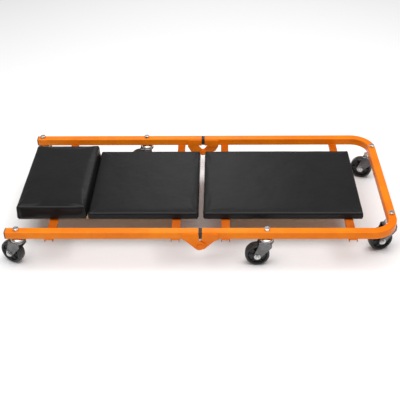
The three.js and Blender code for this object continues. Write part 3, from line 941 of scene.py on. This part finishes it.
SCREW_HEAD, SCREW_EDGE, SCREW_DOME = 4.6 * MM, 1.1 * MM, 1.3 * MM
SCREW_Y = 100 * MM
CHANNEL_WALL = 2 * MM


def pan_screw():
    """A screw head with its cross recess, pointing down from z = 0."""
    outline = [(0, 0), (SCREW_HEAD, 0)]
    for angle in np.linspace(0, math.pi / 2, 8)[:-1]:
        outline.append((SCREW_HEAD * math.cos(angle), -SCREW_EDGE - SCREW_DOME * math.sin(angle)))
    outline.append((0, -SCREW_EDGE - SCREW_DOME))
    head = new_piece("screw", turned("screw", outline, 40), ZINC)
    arm, reach = 0.6 * MM, 2.4 * MM
    slots = [
        block("slot", Vector((-a, -b, -4 * MM)), Vector((a, b, -1.2 * MM)))
        for a, b in ((arm, reach), (reach, arm))
    ]
    carve(head, slots)
    mesh = head.data.copy()
    bpy.data.objects.remove(head)
    return mesh


screw_mesh = pan_screw()
for section in ("head", "foot"):
    heads = []
    for place in ("inner", "outer"):
        low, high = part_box(f"{section}_crossbar_{place}")
        for side in (-1, 1):
            head = screw_mesh.copy()
            centre = Vector(((low.x + high.x) / 2, hinge.y + side * SCREW_Y, high.z - CHANNEL_WALL))
            head.transform(Matrix.Translation(centre) @ Matrix.Rotation(0.7 * side + centre.x, 4, "Z"))
            heads.append(head)
    screws = new_piece(f"{section}_board_screws", joined(f"{section}_board_screws", heads), ZINC)
    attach(screws, f"{section}_section")

# ---- Nuts ----
# Chamfered hexagon nuts: six over the caster stems on top of the tubes, and one behind each
# hinge's lugs. A spring washer's worth of bare thread shows above each caster nut.


NUT_FACETS = 72
NUT_CORNERS, NUT_BORE = 7.5 * MM, 4.1 * MM
NUT_FACE = 0.96  # the round face, as a share of the width across flats
NUT_CHAMFER = math.tan(math.radians(30))
BORE_CHAMFER = 0.7 * MM


def hex_nut(name, across_corners, bore, height):
    """A hexagon nut about Z from z = 0 up, its corners chamfered at both faces."""
    flat = across_corners * math.cos(math.pi / 6)
    face, mouth = flat * NUT_FACE, bore + BORE_CHAMFER
    rings = [[] for _ring in range(8)]
    for angle in (2 * math.pi * k / NUT_FACETS for k in range(NUT_FACETS)):
        corner = flat / math.cos(angle % (math.pi / 3) - math.pi / 6)
        drop = (corner - face) * NUT_CHAMFER
        profile = [
            (face, 0), (corner, drop), (corner, height - drop), (face, height),
            (mouth, height), (bore, height - BORE_CHAMFER), (bore, BORE_CHAMFER), (mouth, 0),
        ]
        for ring, (radius, z) in zip(rings, profile):
            ring.append(Vector((radius * math.cos(angle), radius * math.sin(angle), z)))
    return skin(name, rings, closed=True)


for side in ("right", "left"):
    low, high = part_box(f"pivot_nut_{side}")
    corner_radius = (high.z - low.z) / 2 / math.cos(math.pi / 6)
    mesh = hex_nut(f"hinge_nut_{side}", corner_radius, NUT_BORE, high.y - low.y)
    mesh.transform(Matrix.Translation((hinge.x, low.y, hinge.z)) @ Matrix.Rotation(-math.pi / 2, 4, "X"))
    nut = new_piece(f"hinge_nut_{side}", mesh, ZINC, 25)
    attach(nut, "foot_section")
    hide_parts(f"pivot_nut_{side}")

# ---- Casters ----
# Six light swivel casters: a pressed fork of bright zinc-plated steel hangs on a threaded
# stem by a ball race, and a one-piece black wheel turns on an axle bolt with a lock nut.

FORK_TOP = 75 * MM
FORK_PLATE = 2.5 * MM
FORK_INSIDE = 13.5 * MM
FORK_FOLD = 4 * MM
LEG_END = 10 * MM
CROWN_RADIUS = 18 * MM
NECK_RADIUS = 5.6 * MM
RACE_RADIUS = 17 * MM
BALLS = 16
BALL_RADIUS = 1.25 * MM
BALL_CIRCLE = 15.3 * MM
AXLE_RADIUS = 4 * MM
THREAD_PITCH, THREAD_DEPTH = 1.5 * MM, 0.8 * MM
# The fork's zinc is painted dark grey as painted shade, for the shade it hangs in under the tube; its lighter
# rubbed edges are wear.
SHADED_FORK_ZINC, shaded_fork_shader = worn_finish(
    "shaded_fork_zinc", 45, ((0.17, 0.17, 0.175, 1), (0.12, 0.12, 0.12, 1)), (0.55, 0.55, 0.55, 1),
    wear={"Amount": 1.0, "Patch_Scale": 160},
    gloss={"Scale": 110, "Low": 0.34, "High": 0.48},
    texture={"Scale": 900, "Strength": 0.12},
)
shaded_fork_shader.inputs["Metallic"].default_value = 1.0


def stem_mesh(top, nut_top, underside):
    """Threaded stem, upper race bowl and the riveted end below the fork, about its own axis."""
    under_crown = FORK_TOP - FORK_PLATE
    neck = NECK_RADIUS
    thread_foot = nut_top - 2 * MM
    profile = [
        (0, under_crown - 4 * MM), (6 * MM, under_crown - 4 * MM), (7.6 * MM, under_crown - 3.6 * MM),
        (8.8 * MM, under_crown - 2.4 * MM), (9 * MM, under_crown - GAP), (neck, under_crown - GAP),
        (neck, FORK_TOP + GAP), (13.6 * MM, FORK_TOP + 0.9 * MM), (15.2 * MM, FORK_TOP + 0.5 * MM),
        (16.4 * MM, FORK_TOP + 0.9 * MM), (RACE_RADIUS, FORK_TOP + 2.2 * MM),
        (16.7 * MM, FORK_TOP + 3.8 * MM), (15.6 * MM, FORK_TOP + 5.4 * MM), (13.6 * MM, FORK_TOP + 6.8 * MM),
        (11 * MM, FORK_TOP + 7.8 * MM), (9.4 * MM, underside - 2 * GAP), (9 * MM, underside - GAP),
        (STEM_RADIUS, underside - GAP), (STEM_RADIUS, thread_foot),
    ]
    for turn in range(int((top - MM - thread_foot) / THREAD_PITCH)):
        foot = thread_foot + turn * THREAD_PITCH
        profile.append((STEM_RADIUS - THREAD_DEPTH, foot + 0.5 * THREAD_PITCH))
        profile.append((STEM_RADIUS, foot + THREAD_PITCH))
    profile += [(STEM_RADIUS - 1 * MM, top), (0, top)]
    return turned("stem", profile, 56)


def race_balls():
    """The ring of balls that shows in the slot between the race and the fork's crown."""
    arc = np.linspace(-math.pi / 2, math.pi / 2, 9)
    outline = [(abs(BALL_RADIUS * math.cos(a)), BALL_RADIUS * math.sin(a)) for a in arc]
    balls = []
    for k in range(BALLS):
        angle = 2 * math.pi * k / BALLS
        ball = turned("ball", outline, 16)
        place = Vector((math.cos(angle), math.sin(angle), 0)) * BALL_CIRCLE
        ball.transform(Matrix.Translation(place + Vector((0, 0, FORK_TOP + GAP))))
        balls.append(ball)
    return joined("balls", balls)


def prism(points, axis, start, end):
    """An outline extruded along one axis: 'y' reads it as (x, z), 'x' as (y, z)."""
    if axis == "y":
        rings = [[Vector((a, depth, b)) for a, b in points] for depth in (start, end)]
    else:
        rings = [[Vector((depth, a, b)) for a, b in points] for depth in (start, end)]
    return skin("prism", rings)


def fork_mesh(trail, axle_height):
    """Crown and two legs folded from one plate, about the swivel axis, axle towards -X."""
    outside, inside, fold = FORK_INSIDE + FORK_PLATE, FORK_INSIDE, FORK_FOLD
    under = FORK_TOP - FORK_PLATE
    section = [(-outside, 0), (-inside, 0)]
    turn = fold - FORK_PLATE
    section += arc_points((turn - inside, under - turn), turn, 180, 90, 4)
    section += arc_points((inside - turn, under - turn), turn, 90, 0, 4)
    section += [(inside, 0), (outside, 0)]
    section += arc_points((outside - fold, FORK_TOP - fold), fold, 0, 90, 6)
    section += arc_points((-outside + fold, FORK_TOP - fold), fold, 90, 180, 6)
    leg = arc_points((-trail, axle_height), LEG_END, 167, 337, 20)
    leg += arc_points((9 * MM, FORK_TOP - 13 * MM), 4 * MM, -40, 0, 5)
    leg += [(13 * MM, FORK_TOP + MM), (-19 * MM, FORK_TOP + MM)]
    leg += arc_points((-15 * MM, FORK_TOP - 10 * MM), 6 * MM, 150, 185, 5)
    fork = new_piece("fork", prism(section, "x", -60 * MM, 40 * MM), ZINC)
    carve(fork, [prism(leg, "y", -30 * MM, 30 * MM)], "INTERSECT")
    crown = turned("crown", [
        (0, under), (15.6 * MM, under), (16.6 * MM, under - 1.2 * MM), (16.9 * MM, under - 2.2 * MM),
        (CROWN_RADIUS, under - 2.2 * MM), (CROWN_RADIUS, FORK_TOP - 1.6 * MM),
        (17.2 * MM, FORK_TOP - 0.5 * MM), (16.2 * MM, FORK_TOP), (0, FORK_TOP),
    ], 64)
    carve(fork, [crown], "UNION")
    neck_bore = round_bar(NECK_RADIUS + GAP, (0, 0, 0), (0, 0, FORK_TOP + MM), 40)
    axle_ends = [(-trail, side * 30 * MM, axle_height) for side in (-1, 1)]
    carve(fork, [neck_bore, round_bar(AXLE_RADIUS + GAP, *axle_ends)])
    easing = fork.modifiers.new("eased", "BEVEL")
    easing.width, easing.segments, easing.limit_method = 0.35 * MM, 2, "ANGLE"
    easing.angle_limit = math.radians(50)
    applied(fork)
    mesh = fork.data.copy()
    bpy.data.objects.remove(fork)
    return outward(mesh)


def axle_mesh():
    """Axle bolt about Y with a flanged hexagon head, and a lock nut on the other end."""
    face = FORK_INSIDE + FORK_PLATE + GAP
    shank = [
        (0, -face - 4.2 * MM), (AXLE_RADIUS - 0.5 * MM, -face - 4.2 * MM), (AXLE_RADIUS, -face - 3.8 * MM),
        (AXLE_RADIUS, face + 4.2 * MM), (AXLE_RADIUS - 0.7 * MM, face + 5 * MM), (0, face + 5 * MM),
    ]
    washer = [(AXLE_RADIUS, face), (8 * MM, face), (8 * MM, face + 0.9 * MM), (AXLE_RADIUS, face + 0.9 * MM)]
    head = hex_nut("head", 6.6 * MM, AXLE_RADIUS - 0.4 * MM, 3.4 * MM)
    head.transform(Matrix.Translation((0, 0, -face - 4 * MM)))
    nut = hex_nut("nut", 6.6 * MM, AXLE_RADIUS, 3.2 * MM)
    nut.transform(Matrix.Translation((0, 0, face + 0.9 * MM)))
    top = -face - 0.8 * MM
    flange = [(AXLE_RADIUS, top), (7.6 * MM, top), (7.9 * MM, -face), (AXLE_RADIUS, -face)]
    parts = [turned("shank", shank), turned("washer", washer), turned("flange", flange), head, nut]
    mesh = joined("axle", parts)
    mesh.transform(Matrix.Rotation(math.pi / 2, 4, "X"))
    return mesh


WHEEL_RADIUS = 31.75 * MM
WHEEL_FACETS = 180
RIBS = 6
RIB_DEPTH = 9.2
TREAD_START, TREAD_FADE = 30.2 * MM, 1.2 * MM


def wheel_mesh():
    """A moulded wheel about Y: crowned tread with its parting line, dished web, six ribs.
    Its hub, web and rim are rows of (radius, half width) in millimetres."""
    web = [
        (10.4, 6.4), (11.6, 5.4), (13.5, 4.9), (16, 4.6), (18.5, 4.6), (21, 4.8), (22.8, 5.6),
    ]
    rim = [(23.8, 8.4), (24.6, 10.6), (25.8, 11.6), (27.4, 12.0), (29, 11.6), (30.4, 10.2)]
    rim += [(31.1, 8), (31.5, 5), (31.7, 1.2)]
    hub = [(4.3, 12.4), (4.9, 13.0), (8.4, 13.0), (9.2, 12.6), (9.6, 11.4)]

    def ring(radius, depth, sign, ribbed):
        row = []
        for k in range(WHEEL_FACETS):
            angle = 2 * math.pi * k / WHEEL_FACETS
            here = depth
            if ribbed:
                spread = 2 * math.pi / RIBS
                off = abs((angle + spread / 2) % spread - spread / 2) * radius
                share = min(1.0, max(0.0, (2.1 - off) / 0.9))
                here = depth + max(0.0, RIB_DEPTH - depth) * share * share * (3 - 2 * share)
            across, up = radius * math.cos(angle), radius * math.sin(angle)
            row.append(Vector((across, sign * here, up)) * MM)
        return row

    rings = []
    for sign in (1, -1):
        half = [ring(r, d, sign, False) for r, d in hub]
        half += [ring(r, d, sign, True) for r, d in web]
        half += [ring(r, d, sign, False) for r, d in rim]
        rings += half if sign > 0 else list(reversed(half))
        if sign > 0:
            rings += [ring(WHEEL_RADIUS / MM, 0.45, 1, False), ring(WHEEL_RADIUS / MM, 0.45, -1, False)]
    return skin("wheel", rings, closed=True)


def wheel_plastic():
    """Black polypropylene, a little scuffed and greyer where the tread meets the floor."""
    material, tree, shader = new_finish("wheel_moulding")
    tread = tree.nodes.new("ShaderNodeAttribute")
    tread.attribute_name = "tread"
    scuff = effect(tree, CLOUDINESS, Scale=120, Low=0.25, High=1.0)
    amount = tree.nodes.new("ShaderNodeMath")
    amount.operation = "MULTIPLY"
    tree.links.new(tread.outputs["Fac"], amount.inputs[0])
    tree.links.new(scuff.outputs["Value"], amount.inputs[1])
    worn = effect(tree, RUBBED_EDGES, Amount=0.7, Patch_Scale=160)
    body_colour = blend_colours(tree, worn.outputs["Mask"], (0.009, 0.009, 0.0095, 1), (0.04, 0.04, 0.04, 1))
    colour = blend_colours(tree, amount.outputs["Value"], body_colour, (0.03, 0.03, 0.029, 1))
    gloss = effect(tree, CLOUDINESS, Scale=70, Low=0.36, High=0.5)
    spark = effect(tree, FINE_TEXTURE, Scale=1400, Strength=0.2)
    link_finish(tree, shader, colour, gloss.outputs["Value"], spark.outputs["Normal"])
    return material


WHEEL_PLASTIC = wheel_plastic()


def mark_tread(mesh):
    """Stores how much each point of a wheel belongs to its running tread."""
    places = vertex_places(mesh)
    radius = np.hypot(places[:, 0], places[:, 2])
    share = np.clip((radius - TREAD_START) / TREAD_FADE, 0, 1)
    tread = mesh.attributes.new("tread", "FLOAT", "POINT")
    tread.data.foreach_set("value", share.astype(np.float32))


def placed(name, shape, matrix, material, body, node, smooth_below=35):
    """A copy of a shape, set in its place on its body."""
    mesh = shape.copy()
    mesh.transform(matrix)
    piece = new_piece(name, mesh, material, smooth_below)
    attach(piece, body)
    if node:
        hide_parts(node)


def caster(name, shapes):
    """One caster: its stem and nut on the frame, its fork on the swivel, its wheel on the axle."""
    pivot, axle = joint_place[f"swivel_{name}"], joint_place[f"roll_{name}"]
    section = section_of(f"stem_{name}")
    behind = axle - pivot
    heading = math.atan2(-behind.y, -behind.x)
    standing = Matrix.Translation((pivot.x, pivot.y, 0)) @ Matrix.Rotation(heading, 4, "Z")
    on_axle = Matrix.Translation(axle) @ Matrix.Rotation(heading, 4, "Z")
    nut_low, _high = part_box(f"nut_{name}")
    above = Matrix.Translation((pivot.x, pivot.y, nut_low.z)) @ Matrix.Rotation(heading, 4, "Z")
    swivel, roll = f"swivel_{name}", f"roll_{name}"
    placed(f"{name}_stem", shapes["stem"], standing, ZINC, section, f"stem_{name}")
    placed(f"{name}_nut", shapes["nut"], above, ZINC, section, f"nut_{name}", 25)
    placed(f"{name}_balls", shapes["balls"], standing, ZINC, swivel, None, 60)
    # The fork takes the zinc painted dark as painted shade.
    placed(f"{name}_fork", shapes["fork"], standing, SHADED_FORK_ZINC, swivel, f"fork_{name}")
    placed(f"{name}_axle", shapes["axle"], on_axle, ZINC, swivel, f"axle_{name}", 25)
    placed(
        f"{name}_wheel", shapes["wheel"], on_axle, WHEEL_PLASTIC, roll, f"wheel_{name}", 50
    )


joint_names = [joint["name"] for joint in frame["joints"]]
caster_names = [name.removeprefix("swivel_") for name in joint_names if name.startswith("swivel_")]
first = caster_names[0]
first_trail = joint_place[f"roll_{first}"] - joint_place[f"swivel_{first}"]
first_nut_low, first_nut_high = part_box(f"nut_{first}")
tube_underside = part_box("foot_frame")[0].z
caster_shapes = {
    "stem": stem_mesh(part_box(f"stem_{first}")[1].z, first_nut_high.z, tube_underside),
    "nut": hex_nut("nut", NUT_CORNERS, NUT_BORE, first_nut_high.z - first_nut_low.z),
    "balls": race_balls(),
    "fork": fork_mesh(first_trail.xy.length, joint_place[f"roll_{first}"].z),
    "axle": axle_mesh(),
    "wheel": wheel_mesh(),
}
mark_tread(caster_shapes["wheel"])
for name in caster_names:
    caster(name, caster_shapes)
